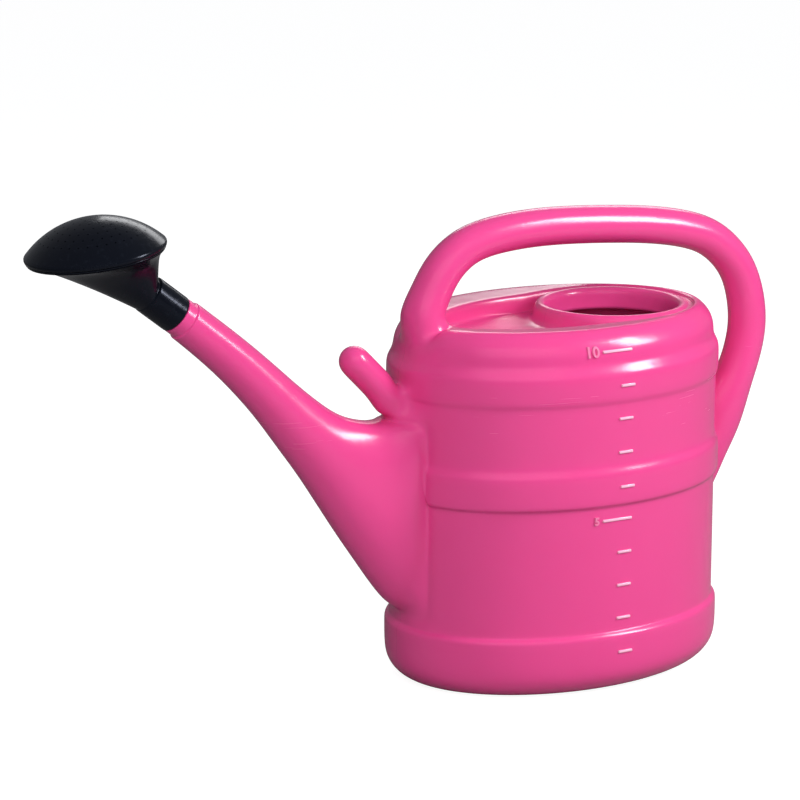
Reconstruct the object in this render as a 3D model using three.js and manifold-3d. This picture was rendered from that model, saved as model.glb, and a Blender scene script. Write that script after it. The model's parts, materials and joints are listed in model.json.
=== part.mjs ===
// Ten-litre watering can: a blow-moulded plastic can with an oval tank, a recessed deck with a
// filling mouth, a loop handle, a tapering spout and a peg, and a two-piece sprinkler rose on
// the spout's tip. Millimetres, +Z up. The origin is the centre of the tank's base on the floor,
// +X points to the handle end, -X to the spout.
import * as THREE from 'three';
import { mergeVertices } from 'three/addons/utils/BufferGeometryUtils.js';
import Module from 'manifold-3d';

const wasm = await Module();
wasm.setup();

// ---- driving dimensions ----
const tankLength = 268;
const tankWidth = 194;
const tankHeight = 279.5; // floor to the crest of the shoulder
const wall = 2.2; // blow-moulded wall
const gap = 0.3; // clearance between neighbouring pieces

const baseCornerRadius = 24;
const footBandTop = 47;
const footBandBulge = 3.4;
const beltDrop = 78.5; // lower edge of the top band down to the lower edge of the belt
const beltHeight = 28;
const beltBulge = 2.8;
const shoulderHeight = 54; // from the lower edge of the top band to the crest
const topBandBulge = 1.4;
const deckInset = 22; // from the tank's wall to the edge of the deck
const rimTableInset = 38; // from the tank's wall to the edge of the recess
const rimTableFall = 2; // crest down to the edge of the recess
const deckRecess = 15; // crest down to the floor of the recess

const mouthSideMargin = 16; // deck edge to the lip, across the can
const mouthRearMargin = 2; // deck edge to the lip, at the handle end
const lipWidth = 8.5;
const lipRise = 14; // floor of the recess up to the top of the lip

const markVolume = 1e6; // one litre, in cubic millimetres
const firstMarkHeight = 34;
const markRise = 0.8;
const markHeight = 1.9;
const shortMark = 12;
const longMark = 25;
const markRightEnd = 8.5;
const topMarkRoom = 15; // crest down to the highest place for a mark

const gripRadius = 14.5; // half the handle's thickness
const gripRise = 62; // crest of the tank to the middle of the grip
const handleOverhang = 45.5; // rear wall to the middle of the rear leg
const handleFrontInset = 20; // front wall to the middle of the front leg
const handleFootDrop = 44.5; // lower edge of the top band down to the top of the handle's lower web
const handleFootSpan = 78; // height of that web on the rear wall
const webHalfThickness = 11;

const spoutTipReach = 184; // front wall to the collar's end
const spoutTipRise = 27.8; // crest up to the collar's end
const spoutTipAngle = THREE.MathUtils.degToRad(38.5);
const spoutTipRadius = 15.2;
const spoutRootLift = 13; // top of the foot band up to the spout's lower edge
const spoutRootDrop = 14.5; // lower edge of the top band down to the spout's upper edge
const spoutRootHalfWidth = 25;
const stubLength = 20; // the part of the tip inside the collar
const neckBandLength = 8; // plain band between the collar and the step
const neckBandStep = 0.9;

const pegRadius = 11.8;
const pegLength = 44; // root to the middle of the rounded tip
const pegAngle = THREE.MathUtils.degToRad(46);
const pegRootReach = 8.9; // front wall to the middle of the peg's root
const pegRootDrop = 0.5; // lower edge of the top band down to the same point

const collarRadius = 14.3;
const collarWall = 1.9;
const collarLength = 27;
const roseWall = 1.9;
const roseRadius = 50.5;
const roseRise = 81; // collar's end to the middle of the face
const roseRiseAngle = THREE.MathUtils.degToRad(40.8); // slope of that line
const roseTilt = THREE.MathUtils.degToRad(7.5); // face leans forward
const roseDome = 22.3; // rise of the perforated face above its rim
const roseSkirt = 3; // depth of the face's rim below the dome
const roseFaceWall = 1.6;
const roseHoleRings = 3;
const roseHoleRingPitch = 12;
const roseHoleRadius = 1.1;

// ---- facets ----
const ovalSides = 52;
const tubeSides = 14;
const spoutSides = 18;
const roseSides = 32;
const handleSteps = 36;
const spoutSteps = 18;

// ---- derived places ----
const halfLength = tankLength / 2;
const halfWidth = tankWidth / 2;
const shoulderStart = tankHeight - shoulderHeight;
const beltBottom = shoulderStart - beltDrop;
const handleFootTop = shoulderStart - handleFootDrop;
const handleFootBottom = handleFootTop - handleFootSpan;
const spoutTipHeight = tankHeight + spoutTipRise;
const spoutRootBottom = footBandTop + spoutRootLift;
const spoutRootTop = shoulderStart - spoutRootDrop;
const pegRootHeight = shoulderStart - pegRootDrop;
const markPitch = markVolume / (Math.PI * (halfLength - wall) * (halfWidth - wall));
const deckFloor = tankHeight - deckRecess;
const spoutAxis = new THREE.Vector3(-Math.cos(spoutTipAngle), 0, Math.sin(spoutTipAngle));
const collarEnd = new THREE.Vector3(-halfLength - spoutTipReach, 0, spoutTipHeight);
const faceNormal = new THREE.Vector3(-Math.sin(roseTilt), 0, Math.cos(roseTilt));
const faceRear = new THREE.Vector3(Math.cos(roseTilt), 0, Math.sin(roseTilt));
const faceCentre = new THREE.Vector3(-Math.cos(roseRiseAngle), 0, Math.sin(roseRiseAngle))
  .multiplyScalar(roseRise)
  .add(collarEnd);

// ---- materials ----
const pink = () => new THREE.MeshStandardMaterial({ color: 0xe55d91, roughness: 0.28, metalness: 0 });
const black = () => new THREE.MeshStandardMaterial({ color: 0x14161f, roughness: 0.22, metalness: 0 });

// ---- solids ----
function solidOf(geometry) {
  geometry.deleteAttribute('normal');
  geometry.deleteAttribute('uv');
  const merged = mergeVertices(geometry, 1e-4);
  const positions = merged.attributes.position.array;
  const corners = [];
  const index = merged.index.array;
  let volume = 0;
  const [a, b, c] = [new THREE.Vector3(), new THREE.Vector3(), new THREE.Vector3()];
  for (let i = 0; i < index.length; i += 3) {
    const [p, q, r] = [index[i], index[i + 1], index[i + 2]];
    if (p === q || q === r || r === p) continue;
    corners.push(p, q, r);
    a.fromArray(positions, 3 * p);
    b.fromArray(positions, 3 * q);
    c.fromArray(positions, 3 * r);
    volume += a.dot(b.cross(c));
  }
  if (volume < 0) corners.reverse();
  return new wasm.Manifold(new wasm.Mesh({
    numProp: 3,
    vertProperties: new Float32Array(positions),
    triVerts: new Uint32Array(corners),
  }));
}

function meshOf(name, solid, material) {
  const result = solid.getMesh();
  const geometry = new THREE.BufferGeometry();
  geometry.setAttribute('position', new THREE.BufferAttribute(result.vertProperties, 3));
  geometry.setIndex(new THREE.BufferAttribute(result.triVerts, 1));
  geometry.computeVertexNormals();
  const mesh = new THREE.Mesh(geometry, material);
  mesh.name = name;
  return mesh;
}

// Turned about the can's upright axis, then drawn in across the can so that every ring keeps
// the same distance from the oval wall all the way round.
function ovalSolid(profile) {
  const geometry = new THREE.LatheGeometry(profile, ovalSides);
  geometry.rotateX(Math.PI / 2);
  const position = geometry.attributes.position;
  const coreRadius = halfLength - 0.5 * halfWidth;
  for (let i = 0; i < position.count; i += 1) {
    const radius = Math.max(Math.hypot(position.getX(i), position.getY(i)), coreRadius);
    position.setY(i, position.getY(i) * (radius - halfLength + halfWidth) / radius);
  }
  return solidOf(geometry);
}

function roundSolid(profile, segments) {
  const geometry = new THREE.LatheGeometry(profile, segments);
  geometry.rotateX(Math.PI / 2);
  return solidOf(geometry);
}

// Moves an outline sideways. A point on the axis stays on it, and an open end moves upright,
// so that the deck's edge and the shoulder's edge face each other squarely.
function offsetProfile(points, distance) {
  return points.map((point, i) => {
    const isEnd = i === 0 || i === points.length - 1;
    if (isEnd) return new THREE.Vector2(point.x, point.y + (point.y > 0 ? distance : -distance));
    const before = points[Math.max(i - 1, 0)];
    const after = points[Math.min(i + 1, points.length - 1)];
    const along = after.clone().sub(before).normalize();
    return point.clone().add(new THREE.Vector2(along.y, -along.x).multiplyScalar(distance));
  });
}

// A skin through rings. Each ring has a middle, two half axes and their half lengths.
function loftSolid(rings, sides, closed = false) {
  const position = [];
  const index = [];
  for (const ring of rings) {
    for (let k = 0; k < sides; k += 1) {
      const turn = (2 * Math.PI * k) / sides;
      const point = ring.middle.clone()
        .addScaledVector(ring.across, ring.deep * Math.cos(turn))
        .addScaledVector(new THREE.Vector3(0, 1, 0), ring.wide * Math.sin(turn));
      position.push(point.x, point.y, point.z);
    }
  }
  const bands = closed ? rings.length : rings.length - 1;
  for (let r = 0; r < bands; r += 1) {
    for (let k = 0; k < sides; k += 1) {
      const next = (k + 1) % sides;
      const [low, high] = [r * sides, ((r + 1) % rings.length) * sides];
      index.push(low + k, low + next, high + next, low + k, high + next, high + k);
    }
  }
  if (!closed) {
    for (const [ring, start] of [[rings[0], 0], [rings.at(-1), (rings.length - 1) * sides]]) {
      const pole = position.length / 3;
      position.push(ring.middle.x, ring.middle.y, ring.middle.z);
      for (let k = 0; k < sides; k += 1) {
        const next = (k + 1) % sides;
        if (start === 0) index.push(pole, start + next, start + k);
        else index.push(pole, start + k, start + next);
      }
    }
  }
  const geometry = new THREE.BufferGeometry();
  geometry.setAttribute('position', new THREE.Float32BufferAttribute(position, 3));
  geometry.setIndex(index);
  return solidOf(geometry);
}

// Rings along a smooth line in the can's middle plane. Each station is [x, z, deep, wide, tilt]:
// the ring's middle, its two half axes, and the direction of the deep one in degrees from +X.
function sweptRings(stations, steps, grow = 0) {
  const smooth = (pick) => new THREE.CatmullRomCurve3(stations.map(pick));
  const middles = smooth(([x, z]) => new THREE.Vector3(x, 0, z));
  const sizes = smooth(([, , deep, wide, tilt]) => new THREE.Vector3(deep, wide, tilt));
  const rings = [];
  for (let i = 0; i <= steps; i += 1) {
    const { x: deep, y: wide, z: tilt } = sizes.getPoint(i / steps);
    const turn = THREE.MathUtils.degToRad(tilt);
    rings.push({
      middle: middles.getPoint(i / steps),
      across: new THREE.Vector3(Math.cos(turn), 0, Math.sin(turn)),
      deep: deep + grow,
      wide: wide + grow,
    });
  }
  return rings;
}

// ---- tank ----
function bulge(bottom, top, height, edge) {
  return [
    [0, bottom],
    [height, bottom + edge],
    [height, top - 1.6 * edge],
    [0.6 * height, top - 0.6 * edge],
    [0, top],
  ];
}

function wallProfile() {
  const points = [new THREE.Vector2(0, 0)];
  const foot = halfLength + footBandBulge - baseCornerRadius;
  for (let i = 0; i <= 6; i += 1) {
    const turn = (Math.PI / 2) * (i / 6);
    points.push(new THREE.Vector2(
      foot + baseCornerRadius * Math.sin(turn),
      baseCornerRadius * (1 - Math.cos(turn)),
    ));
  }
  const steps = [
    [footBandBulge, footBandTop - 4],
    [0.6 * footBandBulge, footBandTop],
    [0, footBandTop + 3],
    ...bulge(beltBottom, beltBottom + beltHeight + 3, beltBulge, 3.5),
    [0, shoulderStart],
    [topBandBulge, shoulderStart + 5],
    [topBandBulge, shoulderStart + 21],
    [-0.4, shoulderStart + 26],
    [-2, shoulderStart + 31],
    [-2.8, shoulderStart + 37],
    [-5.8, shoulderStart + 44],
    [-10, shoulderStart + 50],
    [-15, shoulderStart + 53.3],
    [-18, tankHeight],
    [-deckInset, tankHeight - 0.8],
  ];
  for (const [out, height] of steps) points.push(new THREE.Vector2(halfLength + out, height));
  return points;
}

function deckProfile(edge = deckInset) {
  return [
    [edge, tankHeight - 0.8],
    [rimTableInset, tankHeight - rimTableFall],
    [rimTableInset + 2, tankHeight - rimTableFall - 1.5],
    [rimTableInset + 5, deckFloor + 1.5],
    [rimTableInset + 9, deckFloor],
    [halfLength, deckFloor],
  ].map(([inset, height]) => new THREE.Vector2(halfLength - inset, height));
}

function outsideOfCan(grow) {
  return ovalSolid(offsetProfile([...wallProfile(), ...deckProfile().slice(1)], grow));
}

function wallOffsetAt(height) {
  const points = wallProfile();
  const above = points.findIndex((point) => point.y > height);
  const [low, high] = [points[above - 1], points[above]];
  return THREE.MathUtils.mapLinear(height, low.y, high.y, low.x, high.x) - halfLength;
}

// Raised bars on the side of the tank, one for each litre; the fifth and tenth are long.
function scaleMarks() {
  let marks = null;
  const markCount = Math.floor((tankHeight - topMarkRoom - firstMarkHeight) / markPitch) + 1;
  for (let litre = 1; litre <= markCount; litre += 1) {
    const height = firstMarkHeight + markPitch * (litre - 1);
    const length = litre % 5 === 0 ? longMark : shortMark;
    const bar = new THREE.BoxGeometry(length, wall / 2 + markRise, markHeight);
    bar.translate(
      markRightEnd - length / 2,
      -halfWidth - wallOffsetAt(height) - markRise / 2 + wall / 4,
      height,
    );
    marks = marks ? marks.add(solidOf(bar)) : solidOf(bar);
  }
  return marks;
}

function makeTank() {
  const outer = wallProfile();
  const inner = offsetProfile(outer, -wall).reverse();
  return ovalSolid([...outer, ...inner]).add(scaleMarks());
}

// ---- deck and mouth ----
const deckHalfWidth = halfWidth - deckInset;
const deckHalfLength = halfLength - deckInset;
const lipRadius = deckHalfWidth - mouthSideMargin;
const mouthRadius = lipRadius - lipWidth;
const mouthX = deckHalfLength - mouthRearMargin - lipRadius;

function makeDeck() {
  const top = deckProfile(deckInset + gap);
  const under = offsetProfile(top, -wall).reverse();
  const plate = ovalSolid([...under, ...top]);
  const edge = halfLength - deckInset - gap;
  const room = ovalSolid([[0, 0], [edge, 0], [edge, 2 * tankHeight], [0, 2 * tankHeight]]
    .map(([x, y]) => new THREE.Vector2(x, y)));
  const lipTop = deckFloor + lipRise;
  const lip = roundSolid([
    [mouthRadius, deckFloor - wall],
    [lipRadius, deckFloor - wall],
    [lipRadius, lipTop - 3],
    [lipRadius - 1.2, lipTop - 0.8],
    [lipRadius - 3.2, lipTop],
    [mouthRadius + 2.4, lipTop],
    [mouthRadius + 0.6, lipTop - 1.2],
    [mouthRadius, lipTop - 3],
    [mouthRadius, deckFloor - wall],
  ].map(([x, y]) => new THREE.Vector2(x, y)), roseSides).translate([mouthX, 0, 0]);
  const hole = new THREE.CylinderGeometry(mouthRadius, mouthRadius, 40, roseSides);
  hole.rotateX(Math.PI / 2);
  hole.rotateZ(Math.PI / 2);
  hole.translate(mouthX, 0, deckFloor);
  return plate.subtract(solidOf(hole)).add(lip.intersect(room));
}

// ---- handle ----
function handleStations(thinner = 0) {
  const top = tankHeight + gripRise;
  const r = gripRadius;
  const rear = halfLength + handleOverhang;
  const front = -halfLength + handleFrontInset;
  const footMiddle = (handleFootBottom + handleFootTop) / 2;
  const footHalf = (handleFootTop - handleFootBottom) / 2;
  return [
    [front + 6, tankHeight - 30, r + 1, r + 1, 20],
    [front + 1.5, tankHeight - 9.5, r + 5, r + 6, 18],
    [front - 1.5, tankHeight + 1, r + 3.5, r + 4, 4],
    [front, top - 51.5, r + 1.7, r + 1.9, -12],
    [front + 5.5, top - 40.5, r + 0.9, r + 0.7, -26],
    [front + 17, top - 22, r + 0.6, r + 0.4, -45],
    [front + 40, top - 6, r, r, -68],
    [front + 80, top, r, r, -86],
    [front + 122, top, r, r, -92],
    [front + 165, top - 3, r, r, -95],
    [rear - 91, top - 7, r, r, -99],
    [rear - 55, top - 14.5, r, r, -109],
    [rear - 30, top - 27, r, r, -128],
    [rear - 9, top - 51, r, r, -152],
    [rear, top - 85, r + 0.7, r, -176],
    [rear - 3, top - 112, r + 0.7, r, -194],
    [rear - 12, top - 136.5, r + 1.5, r, -206],
    [rear - 23, footMiddle + footHalf, r + 6.5, r - 0.3, -222],
    [halfLength + 13, footMiddle + 0.5 * footHalf, 0.6 * footHalf, webHalfThickness + 2.2, -244],
    [halfLength + 5.5, footMiddle + 0.1 * footHalf, 0.86 * footHalf, webHalfThickness + 1.2, -266],
    [halfLength - 12, footMiddle, 0.95 * footHalf, webHalfThickness, -270],
  ].map(([x, z, deep, wide, tilt]) => [x, z, deep - thinner, wide - thinner, tilt]);
}

const handleSolid = (thinner) => loftSolid(sweptRings(handleStations(thinner), handleSteps), tubeSides);

// ---- spout ----
function spoutRings(grow = 0) {
  const front = -halfLength;
  const r = spoutTipRadius;
  const along = (distance) => collarEnd.clone().addScaledVector(spoutAxis, distance);
  const tip = along(-neckBandLength - 5);
  const wide = spoutRootHalfWidth;
  const tipTilt = 90 - THREE.MathUtils.radToDeg(spoutTipAngle);
  // the upper edge and the lower edge of a section near the root, with its half width
  const section = (topX, topZ, lowX, lowZ, half) => [
    front - (topX + lowX) / 2,
    (topZ + lowZ) / 2,
    Math.hypot(topX - lowX, topZ - lowZ) / 2,
    half,
    THREE.MathUtils.radToDeg(Math.atan2(topZ - lowZ, lowX - topX)),
  ];
  const stations = [
    [tip.x, tip.z, r, r, tipTilt],
    [tip.x + 31.5, tip.z - 26.5, r + 1, r + 0.6, 48],
    [tip.x + 58, tip.z - 53, r + 3, r + 2.2, 48],
    section(90, spoutRootTop + 36, 114, spoutRootBottom + 155, wide - 6.5),
    section(74, spoutRootTop + 22, 99.5, spoutRootBottom + 134, wide - 5),
    section(60.5, spoutRootTop + 11.5, 87, spoutRootBottom + 117, wide - 4),
    section(49.5, spoutRootTop + 5, 72, spoutRootBottom + 94, wide - 2.7),
    section(38, spoutRootTop + 1.3, 55.5, spoutRootBottom + 67, wide - 1.3),
    section(26, spoutRootTop - 1, 36.8, spoutRootBottom + 39.5, wide - 0.5),
    section(13, spoutRootTop - 1.5, 19, spoutRootBottom + 12.5, wide),
    section(0, spoutRootTop - 1, 2, spoutRootBottom - 3, wide),
    section(-16, spoutRootTop - 3, -16, spoutRootBottom + 4, wide),
  ];
  const across = new THREE.Vector3(spoutAxis.z, 0, -spoutAxis.x);
  const band = (distance, radius) => ({
    middle: along(distance),
    across,
    deep: radius + grow,
    wide: radius + grow,
  });
  const bandRadius = collarRadius - neckBandStep + 0.6;
  const stubRadius = collarRadius - collarWall - gap;
  const rings = sweptRings(stations, spoutSteps, grow);
  return [
    band(stubLength, stubRadius),
    band(-gap, stubRadius),
    band(-gap - 0.05, bandRadius),
    band(-neckBandLength, bandRadius),
    ...rings,
  ];
}

// ---- peg ----
function pegRings(thinner) {
  const axis = new THREE.Vector3(-Math.cos(pegAngle), 0, Math.sin(pegAngle));
  const across = new THREE.Vector3(axis.z, 0, -axis.x);
  const root = new THREE.Vector3(-halfLength - pegRootReach, 0, pegRootHeight);
  const radius = pegRadius - thinner;
  const rings = [
    { distance: -26, radius: radius + 3 },
    { distance: -4, radius: radius + 1.2 },
    { distance: 10, radius: radius + 0.2 },
  ];
  for (let i = 0; i <= 4; i += 1) {
    const turn = (Math.PI / 2) * (i / 4.4);
    rings.push({ distance: pegLength + radius * Math.sin(turn), radius: radius * Math.cos(turn) });
  }
  return rings.map((ring) => ({
    middle: root.clone().addScaledVector(axis, ring.distance),
    across,
    deep: ring.radius,
    wide: ring.radius,
  }));
}

// ---- rose ----
function roseShell() {
  const collarAcross = new THREE.Vector3(spoutAxis.z, 0, -spoutAxis.x);
  const collarTop = collarEnd.clone().addScaledVector(spoutAxis, collarLength);
  const rimRadius = roseRadius - roseFaceWall - gap;
  const rimBottom = faceCentre.clone().addScaledVector(faceNormal, -roseSkirt - gap);
  const ring = (middle, across, deep, wide) => ({ middle, across, deep, wide });
  const rear = collarTop.clone().addScaledVector(collarAcross, collarRadius);
  const lean = (angle) => new THREE.Vector3(Math.cos(angle), 0, Math.sin(angle));
  const widened = (share) => THREE.MathUtils.lerp(collarRadius, roseRadius, share);
  const outer = [
    ring(collarEnd, collarAcross, collarRadius, collarRadius),
    ring(collarTop, collarAcross, collarRadius, collarRadius),
    ring(rear.clone().add(new THREE.Vector3(-16, 0, -2)), lean(0.68), widened(0.17), widened(0.09)),
    ring(rear.clone().add(new THREE.Vector3(-30, 0, 9)), lean(0.32), widened(0.46), widened(0.41)),
    ring(rimBottom.clone().addScaledVector(faceNormal, -1), faceRear, roseRadius - 3.5, roseRadius - 3.5),
    ring(rimBottom, faceRear, roseRadius, roseRadius),
    ring(rimBottom.clone().addScaledVector(faceNormal, gap), faceRear, rimRadius, rimRadius),
    ring(faceCentre.clone().addScaledVector(faceNormal, -1), faceRear, rimRadius, rimRadius),
  ];
  const thin = (r, distance = 0, normal = faceNormal) => ring(
    r.middle.clone().addScaledVector(normal, distance),
    r.across,
    r.deep - roseWall,
    r.wide - roseWall,
  );
  const inner = [
    ring(outer[7].middle, faceRear, rimRadius - roseWall, rimRadius - roseWall),
    ring(rimBottom, faceRear, rimRadius - roseWall, rimRadius - roseWall),
    thin(outer[3], 1.4),
    thin(outer[2], 1),
    thin(outer[1], 0, spoutAxis),
    thin(outer[0], 0, spoutAxis),
  ];
  return loftSolid([...outer, ...inner], roseSides, true);
}

function roseFace() {
  const ball = (roseRadius ** 2 + roseDome ** 2) / (2 * roseDome);
  const reach = Math.asin(roseRadius / ball);
  const dome = (radius, steps) => {
    const points = [];
    for (let i = 0; i <= steps; i += 1) {
      const turn = reach * (1 - i / steps);
      points.push(new THREE.Vector2(
        radius * Math.sin(turn),
        radius * Math.cos(turn) - ball + roseDome,
      ));
    }
    points.at(-1).x = 0;
    return points;
  };
  const inner = dome(ball - roseFaceWall, 8).reverse();
  inner.pop();
  const skirtInner = roseRadius - roseFaceWall;
  const profile = [
    ...inner,
    new THREE.Vector2(skirtInner, 0),
    new THREE.Vector2(skirtInner, -roseSkirt),
    new THREE.Vector2(roseRadius, -roseSkirt),
    ...dome(ball, 8),
  ];
  let face = roundSolid(profile, roseSides);
  for (let ring = 0; ring <= roseHoleRings; ring += 1) {
    const count = Math.max(1, 6 * ring);
    for (let k = 0; k < count; k += 1) {
      const hole = new THREE.CylinderGeometry(roseHoleRadius, roseHoleRadius, 20, 6);
      hole.rotateX(Math.PI / 2);
      const lean = Math.asin((ring * roseHoleRingPitch) / ball);
      hole.translate(0, 0, ball);
      hole.rotateY(lean);
      hole.rotateZ((2 * Math.PI * k) / count);
      hole.translate(0, 0, roseDome - ball);
      face = face.subtract(solidOf(hole));
    }
  }
  return face;
}

// ---- assembly ----
const can = new THREE.Group();
can.name = 'watering_can';

const handleHollow = handleSolid(wall);
const spoutHollow = loftSolid(spoutRings(-wall), spoutSides);
const spoutBore = loftSolid([
  { ...spoutRings(-wall)[0], middle: collarEnd.clone().addScaledVector(spoutAxis, stubLength + 5) },
  ...spoutRings(-wall).slice(1),
], spoutSides);
const outside = outsideOfCan(gap);
const pegOutside = loftSolid(pegRings(0), tubeSides);
const pegHollow = loftSolid(pegRings(wall), tubeSides);

can.add(meshOf('tank', makeTank().subtract(spoutHollow).subtract(handleHollow), pink()));
can.add(meshOf('tank_deck', makeDeck().subtract(handleHollow), pink()));
can.add(meshOf('handle', handleSolid(0).subtract(handleHollow).subtract(outside), pink()));
can.add(meshOf('spout', loftSolid(spoutRings(), spoutSides).subtract(spoutBore).subtract(outside), pink()));
can.add(meshOf(
  'rose_peg',
  pegOutside.subtract(pegHollow).subtract(outside).subtract(loftSolid(spoutRings(gap), spoutSides)),
  pink(),
));

const rose = new THREE.Group();
rose.name = 'rose';
rose.add(meshOf('rose_shell', roseShell(), black()));
const face = meshOf('rose_face', roseFace(), black());
face.position.copy(faceCentre);
face.rotation.y = -roseTilt;
rose.add(face);
can.add(rose);

export default can;
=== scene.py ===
"""A ten-litre plastic watering can: one seamless pink moulding and a black two-piece rose."""
import json
import math

import bmesh
import bpy
from mathutils import Matrix, Vector


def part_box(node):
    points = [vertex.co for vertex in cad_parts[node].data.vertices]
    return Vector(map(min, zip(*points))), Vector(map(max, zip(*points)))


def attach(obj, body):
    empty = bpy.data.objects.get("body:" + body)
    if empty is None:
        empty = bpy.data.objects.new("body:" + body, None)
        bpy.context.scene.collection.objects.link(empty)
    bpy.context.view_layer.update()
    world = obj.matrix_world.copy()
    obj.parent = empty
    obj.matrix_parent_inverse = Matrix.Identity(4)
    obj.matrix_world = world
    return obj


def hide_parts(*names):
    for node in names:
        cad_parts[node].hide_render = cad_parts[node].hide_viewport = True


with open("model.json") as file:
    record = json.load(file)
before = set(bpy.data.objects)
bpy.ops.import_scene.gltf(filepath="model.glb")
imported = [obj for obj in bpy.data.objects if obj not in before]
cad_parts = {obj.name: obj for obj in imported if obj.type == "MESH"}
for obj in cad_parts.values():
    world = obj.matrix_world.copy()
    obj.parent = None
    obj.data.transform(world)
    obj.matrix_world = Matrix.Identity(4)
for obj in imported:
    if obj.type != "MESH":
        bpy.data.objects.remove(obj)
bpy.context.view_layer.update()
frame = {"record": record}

# ---- sizes in metres; places follow the frame's own boxes and joints ----
MM = 0.001
TANK_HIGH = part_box("tank")[1]
HANDLE_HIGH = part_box("handle")[1]
FOOT_BULGE = 3.4 * MM
HALF_LENGTH = TANK_HIGH.x - FOOT_BULGE
HALF_WIDTH = TANK_HIGH.y - FOOT_BULGE
TOP = TANK_HIGH.z
WALL = 2.2 * MM
JOINTS = {joint["name"]: joint for joint in frame["record"]["behaviour"]["joints"]}
COLLAR_END = Vector(JOINTS["rose_turn"]["pos_m"])
SPOUT_AXIS = Vector(JOINTS["rose_turn"]["axis"]).normalized()
FACE_NORMAL = Vector(JOINTS["face_pull"]["axis"]).normalized()
UPWARD = Vector((0.0, 0.0, 1.0))
SIDEWAYS = Vector((0.0, 1.0, 0.0))
SPOUT_TILT = math.degrees(math.atan2(-SPOUT_AXIS.x, SPOUT_AXIS.z))
FACE_TILT = math.degrees(math.atan2(-FACE_NORMAL.x, FACE_NORMAL.z))

# the cage's points round the tank, counted from the handle's end
COLUMNS = 48
FRONT = COLUMNS // 2

MOUTH = Vector((51.5 * MM, 0.0, TOP))
RING_FOOT = 61.5 * MM
RECESS_MIDDLE = 7 * MM
RECESS_HALF_LENGTH = 104 * MM
RECESS_HALF_WIDTH = 59 * MM
GRIP = 14.5 * MM
SPOUT_RADIUS = 15.2 * MM
PEG_RADIUS = 11.8 * MM
PEG_ANGLE = math.radians(46.0)
PEG_LENGTH = 44.0 * MM
PEG_ROOT = Vector((-HALF_LENGTH - 8.9 * MM, 0.0, 225.0 * MM))

# the litre scale
MARK_PITCH = 25.6 * MM
FIRST_MARK = 34.0 * MM
MARKS_END = 8.5 * MM
LONG_BAR = 25.0 * MM
SHORT_BAR = 12.0 * MM
BAR_DEPTH = 2.8 * MM
BAR_HEIGHT = 2.0 * MM
NUMERAL_GAP = 3.0 * MM

# the rose, in millimetres apart from its face's middle
COLLAR_RADIUS = 14.3
ROSE_RADIUS = 50.5
ROSE_DOME = 22.3
FACE_WALL = 1.6
SHELL_WALL = 1.9
RIM_SIDES = 128
FACE_CENTRE = COLLAR_END + Vector((-61.32, 0.0, 52.93)) * MM

# the plastics' colours
PINK = (0.77, 0.058, 0.262, 1.0)
PINK_LIGHTER = (0.82, 0.068, 0.286, 1.0)
PINK_RUBBED = (0.88, 0.25, 0.42, 1.0)
# the raised marks' pink, lightened to paint on them the highlight their edges catch
PINK_PAINTED_HIGHLIGHT = (1.0, 0.62, 0.78, 1.0)
BLACK = (0.0022, 0.0028, 0.005, 1.0)
BLACK_LIGHTER = (0.0038, 0.005, 0.009, 1.0)
BLACK_DUSTY = (0.009, 0.011, 0.018, 1.0)


# ---- camera, lights and floor ----
def look_from(azimuth, elevation):
    """The direction towards a viewer at these angles; azimuth 0 looks along +Y."""
    a, e = math.radians(azimuth), math.radians(elevation)
    return Vector((math.sin(a) * math.cos(e), -math.cos(a) * math.cos(e), math.sin(e)))


def add_camera():
    target = Vector((-0.1348, 0.0, 0.2228))
    distance = 2.4326
    back = look_from(azimuth=-29.5, elevation=13.5)
    data = bpy.data.cameras.new("camera")
    data.lens = 147.24
    data.sensor_width = 36.0
    data.clip_end = 20.0
    camera = bpy.data.objects.new("camera", data)
    bpy.context.scene.collection.objects.link(camera)
    camera.location = target + back * distance
    camera.rotation_euler = back.to_track_quat("Z", "Y").to_euler()
    bpy.context.scene.camera = camera


def add_light(name, azimuth, elevation, distance, width, height, power):
    target = Vector((-0.05, 0.0, 0.18))
    data = bpy.data.lights.new(name, "AREA")
    data.shape = "RECTANGLE"
    data.size = width
    data.size_y = height
    data.energy = power
    light = bpy.data.objects.new(name, data)
    back = look_from(azimuth, elevation)
    light.location = target + back * distance
    light.rotation_euler = back.to_track_quat("Z", "Y").to_euler()
    bpy.context.scene.collection.objects.link(light)
    return light


def add_world():
    """A dim cool surround that looks pale where the camera sees it."""
    world = bpy.data.worlds.new("studio")
    world.use_nodes = True
    nodes, links = world.node_tree.nodes, world.node_tree.links
    dim = nodes["Background"]
    dim.inputs["Color"].default_value = (0.9, 0.93, 1.0, 1.0)
    dim.inputs["Strength"].default_value = 0.22
    pale = nodes.new("ShaderNodeBackground")
    pale.inputs["Color"].default_value = (0.97, 0.97, 0.97, 1.0)
    sight = nodes.new("ShaderNodeLightPath")
    chosen = nodes.new("ShaderNodeMixShader")
    links.new(sight.outputs["Is Camera Ray"], chosen.inputs["Fac"])
    links.new(dim.outputs["Background"], chosen.inputs[1])
    links.new(pale.outputs["Background"], chosen.inputs[2])
    links.new(chosen.outputs["Shader"], nodes["World Output"].inputs["Surface"])
    bpy.context.scene.world = world


def add_floor():
    """A plain pale floor, just clear of the can's base."""
    clearance = 0.5 * MM
    bpy.ops.mesh.primitive_plane_add(size=14.0, location=(0.0, 0.0, -clearance))
    floor = bpy.context.object
    floor.name = "floor"
    paint = Paint(
        "floor", Base_Color=(0.3, 0.3, 0.3, 1.0), Roughness=0.95, Specular_IOR_Level=0.1,
        Emission_Color=(0.92, 0.92, 0.92, 1.0),
    )
    paint.feed("Emission Strength", paint.node("ShaderNodeLightPath", out="Is Camera Ray"))
    floor.data.materials.append(paint.material)


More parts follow.
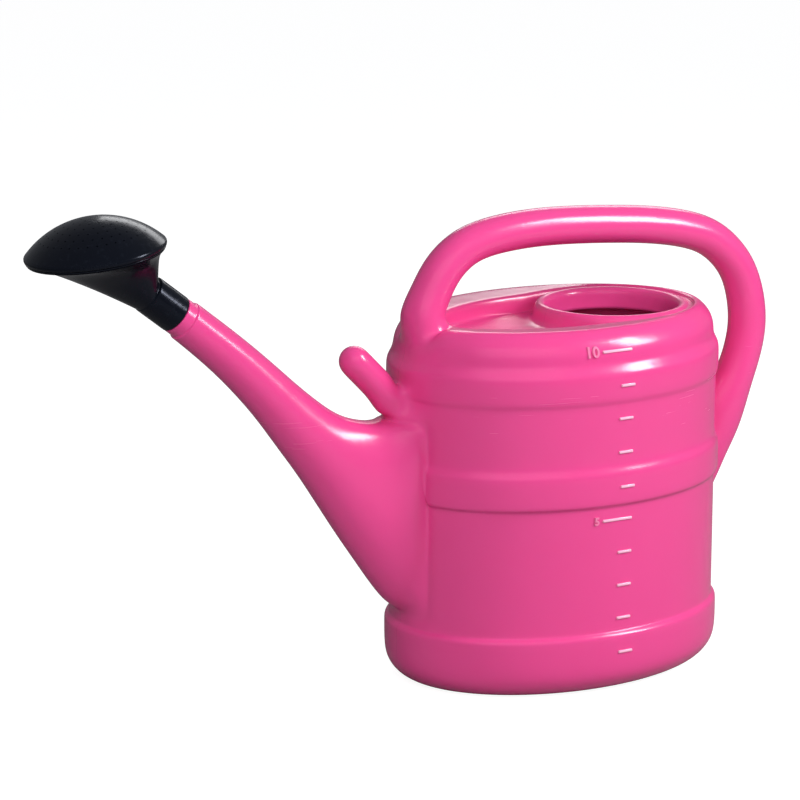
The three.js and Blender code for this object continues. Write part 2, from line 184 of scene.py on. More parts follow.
def add_studio():
    bpy.context.scene.view_settings.view_transform = "Standard"
    add_world()
    add_floor()
    add_light("key", azimuth=46.0, elevation=32.0, distance=1.6, width=0.34, height=0.7, power=18.0)
    add_light("rear", azimuth=146.0, elevation=30.0, distance=1.8, width=1.2, height=0.5, power=6.0)
    front = add_light("front", azimuth=-26.0, elevation=30.0, distance=2.2, width=2.2, height=1.4, power=36.0)
    front.visible_glossy = False


# ---- shader maths ----
class Value:
    """A number socket whose arithmetic adds Math nodes."""

    def __init__(self, paint, socket):
        self.paint = paint
        self.socket = socket

    def maths(self, operation, *values):
        return self.paint.node("ShaderNodeMath", {"operation": operation}, dict(enumerate(values)))

    def __add__(self, other):
        return self.maths("ADD", self, other)

    def __radd__(self, other):
        return self.maths("ADD", other, self)

    def __sub__(self, other):
        return self.maths("SUBTRACT", self, other)

    def __rsub__(self, other):
        return self.maths("SUBTRACT", other, self)

    def __mul__(self, other):
        return self.maths("MULTIPLY", self, other)

    def __rmul__(self, other):
        return self.maths("MULTIPLY", other, self)


class Paint:
    """A material built round one Principled BSDF."""

    def __init__(self, name, **values):
        self.material = bpy.data.materials.new(name)
        self.material.use_nodes = True
        self.tree = self.material.node_tree
        self.shader = self.tree.nodes["Principled BSDF"]
        for socket, value in values.items():
            self.shader.inputs[socket.replace("_", " ")].default_value = value

    def node(self, kind, settings=None, sockets=None, out=0):
        """A node with its settings and the values or links of its sockets; returns one output."""
        made = self.tree.nodes.new(kind)
        for key, value in (settings or {}).items():
            setattr(made, key, value)
        for place, value in (sockets or {}).items():
            if isinstance(value, Value):
                self.tree.links.new(value.socket, made.inputs[place])
            else:
                made.inputs[place].default_value = value
        return Value(self, made.outputs[out])

    def place(self):
        return self.node("ShaderNodeTexCoord", out="Object")

    def part(self, vector, axis):
        return self.node("ShaderNodeSeparateXYZ", sockets={"Vector": vector}, out=axis)

    def stretched(self, scale):
        sockets = {"Vector": self.place(), "Scale": scale}
        return self.node("ShaderNodeMapping", {"vector_type": "POINT"}, sockets)

    def noise(self, where, scale, detail=3.0, roughness=0.5):
        sockets = {"Vector": where, "Scale": scale, "Detail": detail, "Roughness": roughness}
        return self.node("ShaderNodeTexNoise", sockets=sockets)

    def ramp(self, factor, low, high):
        """0 at low, 1 at high."""
        sockets = {"Value": factor, "From Min": low, "From Max": high}
        return self.node("ShaderNodeMapRange", {"clamp": True}, sockets)

    def mix_colours(self, factor, first, second):
        # a Mix node's colour sockets share their names with its number sockets
        mixed, colour_a, colour_b, colour_out = 0, 6, 7, 2
        sockets = {mixed: factor, colour_a: first, colour_b: second}
        return self.node("ShaderNodeMix", {"data_type": "RGBA"}, sockets, out=colour_out)

    def feed(self, socket, value):
        self.tree.links.new(value.socket, self.shader.inputs[socket])

    def bump(self, height, distance, strength):
        sockets = {"Strength": strength, "Distance": distance, "Height": height}
        self.feed("Normal", self.node("ShaderNodeBump", sockets=sockets))


def pink_plastic(name, pale=0.0):
    """Glossy blow-moulded polyethylene; pale, from 0 to 1, paints a highlight on the raised marks by
    lightening their whole colour.
    """
    paint = Paint(
        name, IOR=1.5, Specular_IOR_Level=0.65,
        Subsurface_Weight=0.12, Subsurface_Radius=(0.006, 0.0022, 0.003), Subsurface_Scale=0.5,
    )
    place = paint.place()
    cloud = paint.noise(place, 9.0, 3.0)
    streaks = paint.noise(paint.stretched((6.0, 6.0, 90.0)), 1.0, 4.0, 0.6)
    scratches = paint.ramp(paint.noise(paint.stretched((25.0, 25.0, 700.0)), 1.0, 2.0), 0.66, 0.8)
    # scratches lie only in a zone above the belt
    height = paint.part(place, "Z")
    worn = scratches * paint.ramp(height, 0.19, 0.205) * paint.ramp(height, 0.245, 0.23)
    shade = paint.mix_colours(cloud, PINK, PINK_LIGHTER)
    shade = paint.mix_colours(worn * 0.06, shade, PINK_RUBBED)
    # painted highlight: the raised marks' colour is lightened towards a near-white pink by the share pale
    if pale:
        shade = paint.mix_colours(pale, shade, PINK_PAINTED_HIGHLIGHT)
    paint.feed("Base Color", shade)
    paint.feed("Roughness", 0.17 + 0.05 * cloud + 0.05 * streaks + 0.18 * worn)
    # the mould's parting line runs round the can in its middle plane
    across = paint.part(place, "Y")
    off_line = across.maths("ABSOLUTE", across)
    seam = 1.0 - paint.ramp(off_line, 0.00015, 0.0006)
    ripple = paint.noise(place, 34.0, 2.0) * 0.9 + paint.noise(place, 420.0, 2.0) * 0.05
    paint.bump(ripple + seam * 0.28 - worn * 0.05, 0.0005, 0.9)
    return paint.material


def black_plastic():
    """Glossy injection-moulded plastic with a faint blue sheen and fine handling marks."""
    paint = Paint(
        "black_plastic", IOR=1.5, Specular_IOR_Level=0.22, Specular_Tint=(0.72, 0.78, 1.0, 1.0),
    )
    place = paint.place()
    dust = paint.ramp(paint.noise(place, 260.0, 3.0), 0.56, 0.72)
    cloud = paint.noise(place, 22.0, 3.0)
    rubbed = paint.ramp(paint.noise(paint.stretched((60.0, 60.0, 500.0)), 1.0, 3.0), 0.6, 0.75)
    shade = paint.mix_colours(cloud, BLACK, BLACK_LIGHTER)
    paint.feed("Base Color", paint.mix_colours(dust * 0.35, shade, BLACK_DUSTY))
    paint.feed("Roughness", 0.16 + 0.1 * cloud + 0.1 * rubbed + 0.06 * dust)
    paint.bump(paint.noise(place, 60.0, 2.0) + 0.08 * dust, 0.0003, 0.6)
    return paint.material


# ---- the pink moulding: a cage of loops, smoothed by subdivision ----
class Cage:
    """Loops of points joined by four-sided faces."""

    def __init__(self):
        self.mesh = bmesh.new()

    def loop(self, points):
        return [self.mesh.verts.new(point) for point in points]

    def band(self, lower, upper, left_open=()):
        count = len(lower)
        for k in range(count):
            n = (k + 1) % count
            if k not in left_open:
                self.mesh.faces.new((lower[k], lower[n], upper[n], upper[k]))

    def cap(self, loop, point, inwards=False):
        middle = self.mesh.verts.new(point)
        for k in range(len(loop)):
            pair = (loop[k], loop[(k + 1) % len(loop)])
            self.mesh.faces.new((*(pair[::-1] if inwards else pair), middle))


def swell(count):
    """A smoothed loop lies a little inside its cage, so each cage ring is drawn this much larger."""
    return 3.0 / (2.0 + math.cos(2 * math.pi / count))


def wall_steps():
    """(name, out from the wall, height) in millimetres, from the middle of the base to the crest."""
    top = TOP / MM
    shoulder = top - 54
    foot, corner = 3.5, 24
    steps = [
        ("panel", -78.0, 2.0), ("panel", -52.0, 2.0), ("panel_edge", -46.0, 1.8),
        ("rest", -41.0, 0.05), ("rest", -34.0, 0.0), ("rest", -22.0, 0.0), ("rest", -16.0, 0.3),
    ]
    for step in (2, 3, 4, 5):
        turn = math.radians(15 * step)
        steps.append(("corner", foot - corner + corner * math.sin(turn), corner * (1 - math.cos(turn))))
    return steps + [
        ("foot", foot, 27.0), ("foot", foot, 38.0), ("foot", foot, 44.0), ("foot", 3.2, 46.6),
        ("foot", 1.4, 48.6), ("wall", 0.0, 49.6), ("wall", 0.0, 52.5), ("spout_low", 0.0, 59.0),
        ("wall", 0.0, 76.0), ("web_low", 0.0, 98.0), ("wall", 0.0, 114.0), ("wall", 0.0, 132.0),
        ("wall", 0.0, 143.0), ("belt", 0.0, 146.6), ("belt", 2.7, 148.2), ("belt", 3.1, 151.0),
        ("belt", 3.1, 168.5), ("belt", 2.6, 173.0), ("web_high", 0.5, 176.8), ("wall", 0.0, 181.5),
        ("wall", 0.0, 192.0), ("spout_high", 0.0, 207.0), ("peg_low", 0.0, 211.5), ("wall", 0.0, 217.0),
        ("wall", 0.0, shoulder - 2.5), ("band", 0.5, shoulder - 0.3), ("band", 1.8, shoulder + 2.5),
        ("peg_high", 1.9, shoulder + 10), ("band", 1.9, shoulder + 17), ("band", 1.5, shoulder + 22),
        ("band", -0.4, shoulder + 25.5), ("groove", -2.3, shoulder + 29.5), ("grip_low", -2.5, shoulder + 33),
        ("shoulder", -2.8, shoulder + 38), ("shoulder", -5.0, shoulder + 44.5),
        ("shoulder", -9.5, shoulder + 50), ("shoulder", -14.0, top - 0.4), ("crest", -17.5, top),
    ]


def oval(out, height):
    grow = swell(COLUMNS)
    long_half, short_half = grow * (HALF_LENGTH + out * MM), grow * (HALF_WIDTH + out * MM)
    turns = [2 * math.pi * k / COLUMNS for k in range(COLUMNS)]
    return [Vector((long_half * math.cos(t), short_half * math.sin(t), height * MM)) for t in turns]


def deck_loops(crest):
    """Loops from the crest over the edge of the recess to the neck under the filling mouth."""
    loops = {name: [] for name in (
        "table", "brink", "edge", "slope", "bottom", "floor_a", "floor_b", "floor_c", "foot", "side",
        "out", "high", "in", "throat", "neck",
    )}
    closest = RING_FOOT + 2 * MM
    blending = 9 * MM
    grow = swell(COLUMNS)
    for k in range(COLUMNS):
        turn = 2 * math.pi * k / COLUMNS
        seen = math.atan2(crest[k].y, crest[k].x - MOUTH.x) % (2 * math.pi)
        ray = Vector((math.cos((seen + turn) / 2), math.sin((seen + turn) / 2), 0.0))
        recess_x = RECESS_MIDDLE + RECESS_HALF_LENGTH * math.cos(turn)
        away = Vector((recess_x - MOUTH.x, RECESS_HALF_WIDTH * math.sin(turn), 0.0))
        # 1 where the recess has its full depth, 0 where the mouth's ring leaves no room for it
        room = min(1.0, max(0.0, (away.length - closest) / blending))
        reach = max(away.length, closest)
        away = ray.lerp(away.normalized(), room).normalized()
        depth = (2.5 + 12.5 * room) * MM
        fall = (0.9 + 1.0 * room) * MM
        edge = MOUTH + away * reach - UPWARD * fall
        bottom = MOUTH + away * (reach - (1.2 + 1.6 * room) * MM) - UPWARD * depth
        foot = MOUTH + ray * RING_FOOT - UPWARD * depth
        loops["table"].append(crest[k].lerp(edge, 0.5) - UPWARD * (0.15 * MM))
        loops["brink"].append(crest[k].lerp(edge, 0.9))
        loops["edge"].append(edge - UPWARD * (0.5 * MM))
        loops["slope"].append(edge.lerp(bottom, 0.6))
        loops["bottom"].append(bottom)
        for name, share in (("floor_a", 0.15), ("floor_b", 0.5), ("floor_c", 0.85)):
            loops[name].append(bottom.lerp(foot, share))
        loops["foot"].append(foot)
        for name, radius, height in (
            ("side", 60.0, -0.55 * depth / MM - 0.8), ("out", 59.0, -2.4), ("high", 55.0, 0.6),
            ("in", 50.6, -2.0), ("throat", 50.3, -8.0), ("neck", 50.5, -17.0),
        ):
            loops[name].append(MOUTH + ray * (grow * radius * MM) + UPWARD * (height * MM))
    return loops


def hole_edge(rows, low, high, first, last):
    """The points round an opening, each with its angle seen from outside, anticlockwise."""
    middle = (first + last) // 2 % COLUMNS
    heights = [0.0]
    for r in range(low + 1, high + 1):
        heights.append(heights[-1] + (rows[r][middle].co - rows[r - 1][middle].co).length)
    found = []
    for r in range(low, high + 1):
        for c in range(first, last + 1):
            if r in (low, high) or c in (first, last):
                across = 2 * (c - first) / (last - first) - 1
                up = 2 * heights[r - low] / heights[-1] - 1
                found.append((math.atan2(up, across) % (2 * math.pi), rows[r][c % COLUMNS]))
    found.sort(key=lambda item: item[0])
    return [angle for angle, point in found], [point for angle, point in found]


def evenly(angles):
    """As many angles in equal steps, turned to lie as close to these as they can."""
    count = len(angles)
    steps = [2 * math.pi * k / count for k in range(count)]
    shift = sum(angles) / count - sum(steps) / count
    return [step + shift for step in steps]


def blend(first, second, share):
    """Number by number, from the first list at share 0 to the second at 1."""
    return [a + (b - a) * share for a, b in zip(first, second)]


def between(p, q, r, s, t):
    """Catmull-Rom from q to r as t goes from 0 to 1."""
    square, cube = 2 * p - 5 * q + 4 * r - s, 3 * q - p - 3 * r + s
    return 0.5 * (2 * q + (r - p) * t + square * t * t + cube * t ** 3)


def smooth_stations(stations, steps):
    """Stations, each a row of numbers, with the gaps filled smoothly in this many steps."""
    ends = [stations[0], *stations, stations[-1]]
    rows = []
    for i in range(len(stations) - 1):
        for step in range(steps):
            rows.append([between(*numbers, step / steps) for numbers in zip(*ends[i:i + 4])])
    return [*rows, list(stations[-1])]


def boxed(angle, squareness):
    """Across and up on a unit ring whose upper half is drawn out towards a square."""
    across, up = math.cos(angle), math.sin(angle)
    power = 1.0 - squareness if up > 0.0 else 1.0
    return math.copysign(abs(across) ** power, across), math.copysign(abs(up) ** power, up)


def ring_points(station, angles, squareness=0.0):
    """A ring in the middle plane's frame: middle x and z, half axes, and the deep one's tilt."""
    x, z, deep, wide, tilt = station
    turn = math.radians(tilt)
    across = Vector((math.cos(turn), 0.0, math.sin(turn)))
    grow = swell(len(angles)) * MM
    middle = Vector((x * MM, 0.0, z * MM))
    shape = [boxed(angle, squareness) for angle in angles]
    return [middle + across * (grow * deep * up) - SIDEWAYS * (grow * wide * side) for side, up in shape]


def handle_stations():
    """Rings from the near root over the grip to the rear one, as ring_points takes them."""
    top = (HANDLE_HIGH.z - GRIP) / MM
    rear = (HANDLE_HIGH.x - GRIP) / MM - 0.7
    front = -HALF_LENGTH / MM + 20
    back_wall = HALF_LENGTH / MM
    crest = TOP / MM
    r = GRIP / MM
    return [
        [front + 1.5, crest - 8.0, r + 4.6, r + 5.4, 22],
        [front - 1.5, crest + 1.8, r + 3.2, r + 3.2, 6],
        [front, top - 51.5, r + 1.7, r + 1.9, -12],
        [front + 5.5, top - 40.5, r + 0.9, r + 0.7, -26],
        [front + 17, top - 22, r + 0.6, r + 0.4, -45],
        [front + 40, top - 6, r, r, -68],
        [front + 80, top, r, r, -86],
        [front + 122, top, r, r, -92],
        [front + 165, top - 3, r, r, -95],
        [rear - 91, top - 7, r, r, -99],
        [rear - 55, top - 14.5, r, r, -109],
        [rear - 30, top - 27, r, r, -128],
        [rear - 9, top - 51, r, r, -152],
        [rear, top - 85, r + 0.7, r, -176],
        [rear - 3, top - 112, r + 0.7, r, -194],
        [rear - 12, top - 136.5, r + 1.5, r, -206],
        [rear - 23, 181, r + 6.5, r - 0.3, -222],
        [back_wall + 13.5, 161.5, 23.5, 13.2, -244],
        [back_wall + 6, 143.5, 33.0, 12.4, -266],
    ]


def spout_stations():
    """Rings from the tank's wall to the spout's tip, as ring_points takes them."""
    wall = -HALF_LENGTH / MM
    tip = (COLLAR_END - SPOUT_AXIS * (13 * MM)) / MM
    r = SPOUT_RADIUS / MM
    return [
        [wall - 1.5, 134.5, 75.5, 29.5, 89],
        [wall - 7, 137.0, 73.5, 28.8, 88],
        [wall - 16, 141.5, 68.5, 26.6, 87.5],
        [wall - 31.4, 154.7, 55.4, 24.6, 84.4],
        [wall - 46.8, 169.8, 43.4, 23.7, 78.4],
        [wall - 60.8, 185, 33.2, 22.3, 70.2],
        [wall - 73.8, 199.8, 26.3, 21, 59.8],
        [wall - 86.8, 213.5, 23.3, 20, 56.8],
        [wall - 102, 230.6, 20.1, 18.5, 53.4],
        [tip.x + 58, tip.z - 53, r + 3, r + 2.2, 48],
        [tip.x + 31.5, tip.z - 26.5, r + 1, r + 0.6, 48],
        [tip.x, tip.z, r, r, SPOUT_TILT],
    ]


def build_cage():
    cage = Cage()
    names, rows = [], []
    for name, out, height in wall_steps():
        names.append(name)
        rows.append(cage.loop(oval(out, height)))
    crest = [point.co.copy() for point in rows[-1]]
    for name, points in deck_loops(crest).items():
        names.append(name)
        rows.append(cage.loop(points))

    place = names.index
    # lowest and highest row, first and last column
    holes = {
        "spout": (place("spout_low"), place("spout_high"), FRONT - 2, FRONT + 2),
        "peg": (place("peg_low"), place("peg_high"), FRONT - 1, FRONT + 1),
        "handle": (place("grip_low"), place("brink"), FRONT - 2, FRONT + 2),
        "web": (place("web_low"), place("web_high"), -1, 1),
    }
    for r in range(len(rows) - 1):
        left_open = {
            k % COLUMNS
            for low, high, first, last in holes.values() if low <= r < high
            for k in range(first, last)
        }
        cage.band(rows[r], rows[r + 1], left_open)
    cage.cap(rows[0], Vector((0.0, 0.0, 2.0 * MM)), inwards=True)
    shape_spout_root(rows, holes["spout"], place("peg_low"))
    edges = {name: hole_edge(rows, *hole) for name, hole in holes.items()}
    add_spout(cage, *edges["spout"])
    add_peg(cage, *edges["peg"])
    add_handle(cage, *edges["handle"], *edges["web"])
    for point in [point for point in cage.mesh.verts if not point.link_faces]:
        cage.mesh.verts.remove(point)
    return cage.mesh


def shape_spout_root(rows, hole, peg_low):
    """Draws the strip between spout and peg forward, and sinks a groove beside the spout's flanks."""
    low, high, first, last = hole
    for r, rise in ((high, 2.5), (peg_low, 1.0)):
        for c, reach in zip(range(first, last + 1), (1.0, 12.0, 14.0, 12.0, 1.0)):
            rows[r][c].co += Vector((-reach, 0.0, rise)) * MM
    for r, reach in ((peg_low + 1, 4.0), (peg_low + 2, 1.5), (peg_low + 3, 0.5)):
        for c in (FRONT - 1, FRONT + 1):
            rows[r][c].co.x -= reach * MM
    for r in range(low - 1, high + 2):
        for edge, beside in ((first, first - 1), (last, last + 1)):
            rows[r][beside].co = rows[r][beside].co.lerp(rows[r][edge].co, 0.5)
    for r in range(low, high + 1):
        for c in (first, last):
            rows[r][c].co.x += 4.0 * MM
            rows[r][c].co.y *= 1.08


def add_spout(cage, angles, loop):
    """The spout and the stub in the collar; squarish and drawn forward on top where it starts."""
    even = evenly(angles)
    for i, station in enumerate(spout_stations()):
        spread = blend(angles, even, min(1.0, i / 7))
        points = ring_points(station, spread, squareness=max(0.0, 0.66 - 0.11 * i))
        ledge = max(0.0, 15.0 - 5.0 * i) * MM
        for point, angle in zip(points, spread):
            point.x -= ledge * max(0.0, math.sin(angle)) ** 4
        new_loop = cage.loop(points)
        cage.band(loop, new_loop)
        loop = new_loop
    for distance, radius in (
        (-9.6, 15.3), (-8.9, 15.1), (-8.5, 14.1), (-7.6, 14.0), (-5, 14.0), (-1.2, 14.0),
        (-0.6, 13.9), (-0.5, 12.2), (1.0, 12.1), (20.0, 12.1),
    ):
        middle = (COLLAR_END + SPOUT_AXIS * (distance * MM)) / MM
        new_loop = cage.loop(ring_points([middle.x, middle.z, radius, radius, SPOUT_TILT], even))
        cage.band(loop, new_loop)
        loop = new_loop


def add_peg(cage, angles, loop):
    """The closed peg that the rose is parked on."""
    even = evenly(angles)
    axis = Vector((-math.cos(PEG_ANGLE), 0.0, math.sin(PEG_ANGLE)))
    tilt = 90 - math.degrees(PEG_ANGLE)
    root = PEG_ROOT / MM
    r, length = PEG_RADIUS / MM, PEG_LENGTH / MM
    wall = -HALF_LENGTH / MM
    rings = [
        [wall - 12.0, 225.0, 13.2, 12.6, 56],
        [wall - 16.0, 230.6, 12.2, 12.0, 48],
    ]
    for distance in (15, 22, 30, 38):
        middle = root + axis * distance
        rings.append([middle.x, middle.z, r + max(0.0, 0.5 - distance / 40), r, tilt])
    for turn in (0, 25, 50, 72):
        middle = root + axis * (length + r * math.sin(math.radians(turn)))
        radius = r * math.cos(math.radians(turn))
        rings.append([middle.x, middle.z, radius, radius, tilt])
    for i, station in enumerate(rings):
        new_loop = cage.loop(ring_points(station, blend(angles, even, min(1.0, i / 2))))
        cage.band(loop, new_loop)
        loop = new_loop
    cage.cap(loop, (root + axis * (length + 1.02 * r)) * MM)


def add_handle(cage, angles, loop, end_angles, end_loop):
    """The handle, from the shoulder over the grip to the tank's rear wall."""
    count = len(loop)
    even = evenly(angles)
    turned = [math.pi - angle for angle in end_angles]

    def wrap(angle):
        return (angle + math.pi) % (2 * math.pi) - math.pi

    def misfit(shift):
        return sum(abs(wrap(turned[(shift - k) % count] - even[k])) for k in range(count))

    shift = min(range(count), key=misfit)
    order = [(shift - k) % count for k in range(count)]
    ending = [even[k] + wrap(turned[order[k]] - even[k]) for k in range(count)]
    rings = smooth_stations(handle_stations(), 2)
    loops = [loop]
    # the first rings keep the spacing of the shoulder's opening, and the last take the rear one's
    for i, station in enumerate(rings):
        start_share = max(0.0, 1 - i / 5)
        end_share = max(0.0, 1 - (len(rings) - 1 - i) / 6)
        spread = blend(blend(even, angles, start_share), ending, end_share)
        loops.append(cage.loop(ring_points(station, spread)))
        cage.band(*loops[-2:])
    cage.band(loops[-1], [end_loop[j] for j in order])
    root = {*loops[0], *loops[1]}
    for widening in range(2):
        root |= {edge.other_vert(point) for point in root for edge in point.link_edges}
    for smoothing in range(3):
        bmesh.ops.smooth_vert(
            cage.mesh, verts=list(root), factor=0.4, use_axis_x=True, use_axis_y=True, use_axis_z=True,
        )


def subdivided(source, levels, name):
    """The cage smoothed by subdivision, as a mesh of its own."""
    mesh = bpy.data.meshes.new(name)
    source.to_mesh(mesh)
    piece = bpy.data.objects.new(name, mesh)
    bpy.context.scene.collection.objects.link(piece)
    smoother = add_smoother(piece, levels)
    smoother.boundary_smooth = "PRESERVE_CORNERS"
    apply_all(piece)
    return piece


def add_smoother(piece, levels):
    smoother = piece.modifiers.new("smooth", "SUBSURF")
    smoother.levels = levels
    smoother.render_levels = levels
    return smoother


def select_only(*pieces):
    bpy.ops.object.select_all(action="DESELECT")
    for piece in pieces:
        piece.select_set(True)
    bpy.context.view_layer.objects.active = pieces[0]


def apply_all(piece):
    select_only(piece)
    for modifier in list(piece.modifiers):
        bpy.ops.object.modifier_apply(modifier=modifier.name)


def boundary_loops(mesh):
    """The open edges, as one list for each opening."""
    left = {edge for edge in mesh.edges if edge.is_boundary}
    loops = []
    while left:
        found = [left.pop()]
        ends = list(found[0].verts)
        while ends:
            point = ends.pop()
            for edge in point.link_edges:
                if edge in left:
                    left.remove(edge)
                    found.append(edge)
                    ends.append(edge.other_vert(point))
        loops.append(found)
    return loops


def make_can():
    """The outer skin and a coarser inner one, joined round the mouth and the spout's tip."""
    cage = build_cage()
    outer = subdivided(cage, 2, "can_body")
    inner = subdivided(cage, 1, "can_inside")
    cage.free()
    skin = bmesh.new()
    skin.from_mesh(inner.data)
    skin.normal_update()
    for point in skin.verts:
        point.co -= point.normal * WALL
    bmesh.ops.reverse_faces(skin, faces=skin.faces[:])
    skin.from_mesh(outer.data)
    for edges in match_openings(boundary_loops(skin)):
        bmesh.ops.bridge_loops(skin, edges=edges)
    bmesh.ops.recalc_face_normals(skin, faces=[face for face in skin.faces if len(face.verts) == 3])
    skin.to_mesh(outer.data)
    skin.free()
    bpy.data.objects.remove(inner)
    finish_piece(outer, "can", "pink_plastic", 180.0)
    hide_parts("tank", "tank_deck", "handle", "spout", "rose_peg")
    return outer


def match_openings(loops):
    """The edges of the mouth's two loops, and those of the spout's tip, which is in front of the tank."""
    def at_tip(loop):
        points = [point.co for edge in loop for point in edge.verts]
        return sum(point.x for point in points) / len(points) < -HALF_LENGTH

    return [
        [edge for loop in loops if at_tip(loop) == is_tip for edge in loop]
        for is_tip in (False, True)
    ]


def finish_piece(piece, body, slot, angle):
    """Shading, plastic and body; edges sharper than the angle stay crisp."""
    select_only(piece)
    bpy.ops.object.shade_smooth_by_angle(angle=math.radians(angle))
    piece.data.materials.clear()
    piece.data.materials.append(PAINTS[slot])
    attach(piece, body)


# ---- the raised litre scale ----
def wall_height(body, x, z):
    """Where the tank's near wall stands at this place along and above the can."""
    hit, point, *_ = body.ray_cast(Vector((x, -2 * HALF_WIDTH, z)), SIDEWAYS)
    return point.y if hit else -HALF_WIDTH


def lay_on_wall(piece, body):
    """Bends a piece made round Y = 0 on to the tank's wall."""
    for point in piece.data.vertices:
        point.co.y += wall_height(body, point.co.x, point.co.z)


def add_bar(x, z, length):
    size = (length, BAR_DEPTH, BAR_HEIGHT)
    bpy.ops.mesh.primitive_cube_add(size=1.0, location=(x, 0.0, z), scale=size)
    bar = bpy.context.object
    bpy.ops.object.transform_apply(location=True, rotation=True, scale=True)
    soften(bar, width=0.55 * MM, segments=3, angle=60.0)
    return bar


def add_numeral(text, x, z, height):
    bpy.ops.object.text_add(location=(x, 0.0, z), rotation=(math.pi / 2, 0.0, 0.0))
    numeral = bpy.context.object
    numeral.data.body = text
    numeral.data.align_x = "RIGHT"
    numeral.data.align_y = "CENTER"
    numeral.data.size = height
    numeral.data.extrude = 1.1 * MM
    numeral.data.offset = 0.12 * MM
    numeral.data.bevel_depth = 0.22 * MM
    numeral.data.bevel_resolution = 1
    numeral.data.resolution_u = 4
    bpy.ops.object.convert(target="MESH")
    bpy.ops.object.transform_apply(location=True, rotation=True, scale=True)
    return bpy.context.object


def soften(piece, width, segments, angle):
    edge = piece.modifiers.new("edge", "BEVEL")
    edge.width = width
    edge.segments = segments
    edge.limit_method = "ANGLE"
    edge.angle_limit = math.radians(angle)
    apply_all(piece)


def join_pieces(pieces, name):
    select_only(*pieces)
    bpy.ops.object.join()
    pieces[0].name = name
    return pieces[0]


def make_scale(body):
    """A bar for each litre, longer and numbered at every fifth."""
    bars, numerals = [], []
    for litre in range(1, 11):
        numbered = litre % 5 == 0
        length = LONG_BAR if numbered else SHORT_BAR
        height = FIRST_MARK + MARK_PITCH * (litre - 1)
        bars.append(add_bar(MARKS_END - length / 2, height, length))
        if numbered:
            size = (11.0 if litre == 10 else 8.0) * MM
            numerals.append(add_numeral(str(litre), MARKS_END - length - NUMERAL_GAP, height, size))
    for part in [*bars, *numerals]:
        lay_on_wall(part, body)
    # painted highlight: the bars' colour is lightened strongly, the numerals' a little
    for parts, name, pale in ((bars, "litre_bars", 0.7), (numerals, "litre_numerals", 0.25)):
        scale = join_pieces(parts, name)
        finish_piece(scale, "can", "pink_plastic", 40.0)
        scale.data.materials[0] = pink_plastic(f"{name}_pink", pale)


# ---- the rose ----
def start_ring(sides, station):
    """A ring in edit mode; a station is middle x and z, two half axes in mm, and the tilt."""
    x, z, deep, wide, tilt = station
    middle = (x * MM, 0.0, z * MM)
    bpy.ops.object.select_all(action="DESELECT")
    bpy.ops.mesh.primitive_circle_add(
        vertices=sides, radius=MM, location=middle, rotation=(0.0, -math.radians(tilt), 0.0),
    )
    bpy.ops.object.transform_apply(location=True, rotation=True, scale=True)
    bpy.ops.object.mode_set(mode="EDIT")
    bpy.ops.mesh.select_all(action="SELECT")
    bpy.ops.transform.resize(value=(deep, wide, deep), center_override=middle)
    return bpy.context.object


def extrude_ring(before, station):
    """Extrudes the chosen ring, then moves, turns and sizes the new one."""
    x, z, deep, wide, tilt = station
    shift = ((x - before[0]) * MM, 0.0, (z - before[1]) * MM)
    middle = (x * MM, 0.0, z * MM)
    bpy.ops.mesh.extrude_region_move(TRANSFORM_OT_translate={"value": shift})
    turn = tilt - before[4]
    if turn:
        bpy.ops.transform.rotate(
            value=math.radians(turn), orient_axis="Y", orient_type="GLOBAL", center_override=middle,
        )
    bpy.ops.transform.resize(
        value=(deep / before[2], wide / before[3], deep / before[2]), center_override=middle,
    )


def extruded_tube(sides, stations):
    tube = start_ring(sides, stations[0])
    for before, station in zip(stations, stations[1:]):
        extrude_ring(before, station)
    return tube


def along_collar(distance, radius=COLLAR_RADIUS, forward=0.0):
    """A ring round the collar's axis; forward moves it off the axis and narrows it."""
    rearward = Vector((SPOUT_AXIS.z, 0.0, -SPOUT_AXIS.x))
    middle = COLLAR_END / MM + SPOUT_AXIS * distance - rearward * forward
    return [middle.x, middle.z, radius - forward, radius - 0.4 * forward, SPOUT_TILT]


def below_face(distance, radius):
    """A ring square to the face's axis, this far under the face's plane."""
    middle = FACE_CENTRE / MM - FACE_NORMAL * distance
    return [middle.x, middle.z, radius, radius, FACE_TILT]


def make_shell():
    """Collar, neck, bowl and the stepped rim that the face snaps over."""
    stations = [
        along_collar(0.0, 14.0), along_collar(0.35), along_collar(1.4), along_collar(14.0),
        along_collar(25.6), along_collar(26.8), along_collar(27.2, 14.0, 0.6),
        along_collar(27.6, 13.9, 1.1), along_collar(29.5, 14.2, 1.1),
        [-345.4, 330.4, 17.0, 16.0, 42],
        [-355.6, 338.8, 25.0, 20.0, 20],
        [-367.3, 347.4, 36.0, 28.0, 9.7],
        [-374.6, 353.0, 44.0, 39.5, 6.6],
        below_face(4.9, 47.2), below_face(4.5, 49.0), below_face(4.1, 49.9), below_face(3.5, 49.9),
        below_face(3.25, 49.6), below_face(3.2, 48.5), below_face(2.8, 48.4), below_face(1.2, 48.4),
        below_face(1.0, 48.4),
    ]
    shell = extruded_tube(32, stations)
    bpy.ops.object.mode_set(mode="OBJECT")
    add_smoother(shell, 2)
    thicken(shell, SHELL_WALL)
    shell.name = "rose_body"
    finish_piece(shell, "rose", "black_plastic", 45.0)
    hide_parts("rose_shell")


def thicken(piece, thickness):
    """Outward normals first, then a wall inside them."""
    apply_all(piece)
    bpy.ops.object.mode_set(mode="EDIT")
    bpy.ops.mesh.select_all(action="SELECT")
    bpy.ops.mesh.remove_doubles(threshold=0.00001)
    bpy.ops.object.mode_set(mode="OBJECT")
    top = max(piece.data.polygons, key=lambda face: abs(face.normal.y) * abs(face.center.y))
    if top.normal.y * top.center.y < 0:
        piece.data.flip_normals()
    wall = piece.modifiers.new("wall", "SOLIDIFY")
    wall.thickness = thickness * MM
    wall.offset = -1.0
    apply_all(piece)


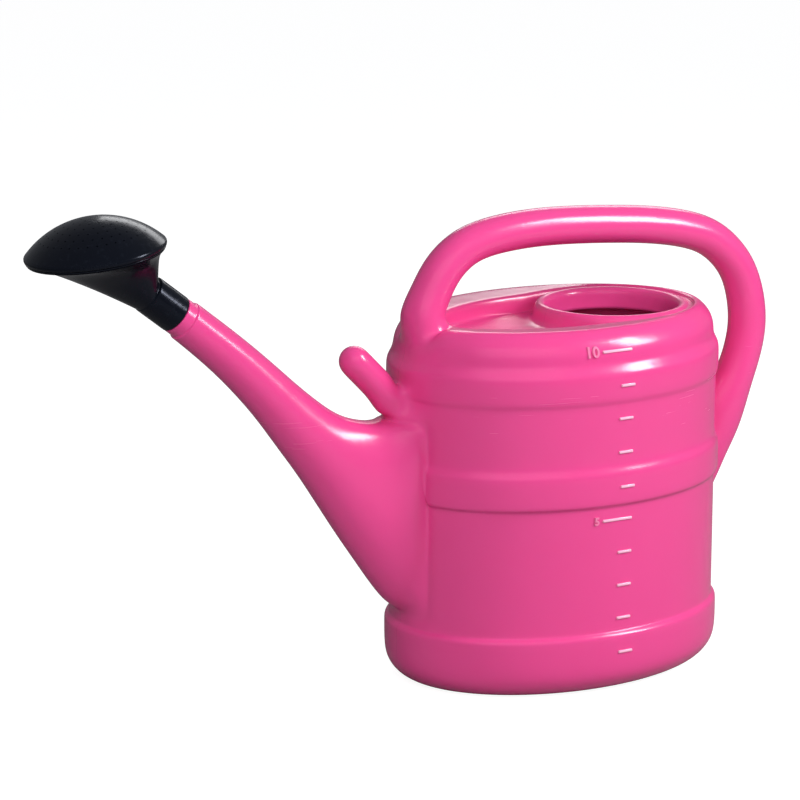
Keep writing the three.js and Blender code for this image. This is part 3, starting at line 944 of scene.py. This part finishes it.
def make_face():
    """The domed disc, made level round the origin, pierced, then put in its place."""
    ball = (ROSE_RADIUS ** 2 + ROSE_DOME ** 2) / (2 * ROSE_DOME)
    reach = math.asin(ROSE_RADIUS / ball)
    levels = [(-3.0, 49.8), (-2.4, 50.2), (-1.3, ROSE_RADIUS), (-0.2, 50.4), (0.7, 49.9)]
    rings = 18
    for i in range(rings - 1):
        turn = reach * (0.965 - i / rings)
        levels.append((ball * math.cos(turn) - ball + ROSE_DOME, ball * math.sin(turn)))
    face = extruded_tube(RIM_SIDES, [[0.0, height, radius, radius, 0] for height, radius in levels])
    bpy.ops.mesh.extrude_region_move(TRANSFORM_OT_translate={"value": (0.0, 0.0, 0.02 * MM)})
    bpy.ops.mesh.merge(type="CENTER")
    bpy.ops.object.mode_set(mode="OBJECT")
    thicken(face, FACE_WALL)
    soften(face, width=0.35 * MM, segments=2, angle=50.0)
    pierce(face, ball)
    place = Matrix.Translation(FACE_CENTRE) @ Matrix.Rotation(-math.radians(FACE_TILT), 4, "Y")
    face.data.transform(place)
    face.name = "rose_disc"
    finish_piece(face, "face", "black_plastic", 40.0)
    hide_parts("rose_face")


def pierce(face, ball):
    """Fine spray holes in rings, each square to the dome."""
    pitch, rings, radius = 6.7, 6, 0.62
    # half a step of the disc's sides, so that no hole's corner meets an edge of the disc
    off_the_edges = math.pi / RIM_SIDES
    cutter = bmesh.new()
    for ring in range(rings + 1):
        count = max(1, 6 * ring)
        lean = ring * pitch / ball
        for k in range(count):
            turn = 2 * math.pi * (k + 0.5 * (ring % 2)) / count
            place = (
                Matrix.Translation((0.0, 0.0, (ROSE_DOME - ball) * MM))
                @ Matrix.Rotation(turn, 4, "Z")
                @ Matrix.Rotation(lean, 4, "Y")
                @ Matrix.Translation((0.0, 0.0, (ball - 0.5 * FACE_WALL) * MM))
                @ Matrix.Rotation(off_the_edges, 4, "Z")
            )
            bmesh.ops.create_cone(
                cutter, cap_ends=True, segments=10, radius1=radius * MM, radius2=radius * MM, depth=6 * MM,
                matrix=place,
            )
    mesh = bpy.data.meshes.new("holes")
    cutter.to_mesh(mesh)
    cutter.free()
    holes = bpy.data.objects.new("holes", mesh)
    bpy.context.scene.collection.objects.link(holes)
    cut = face.modifiers.new("holes", "BOOLEAN")
    cut.operation = "DIFFERENCE"
    cut.solver = "EXACT"
    cut.object = holes
    apply_all(face)
    bpy.data.objects.remove(holes)


PAINTS = {"pink_plastic": pink_plastic("pink_plastic"), "black_plastic": black_plastic()}
add_camera()
add_studio()
can_body = make_can()
make_scale(can_body)
make_shell()
make_face()
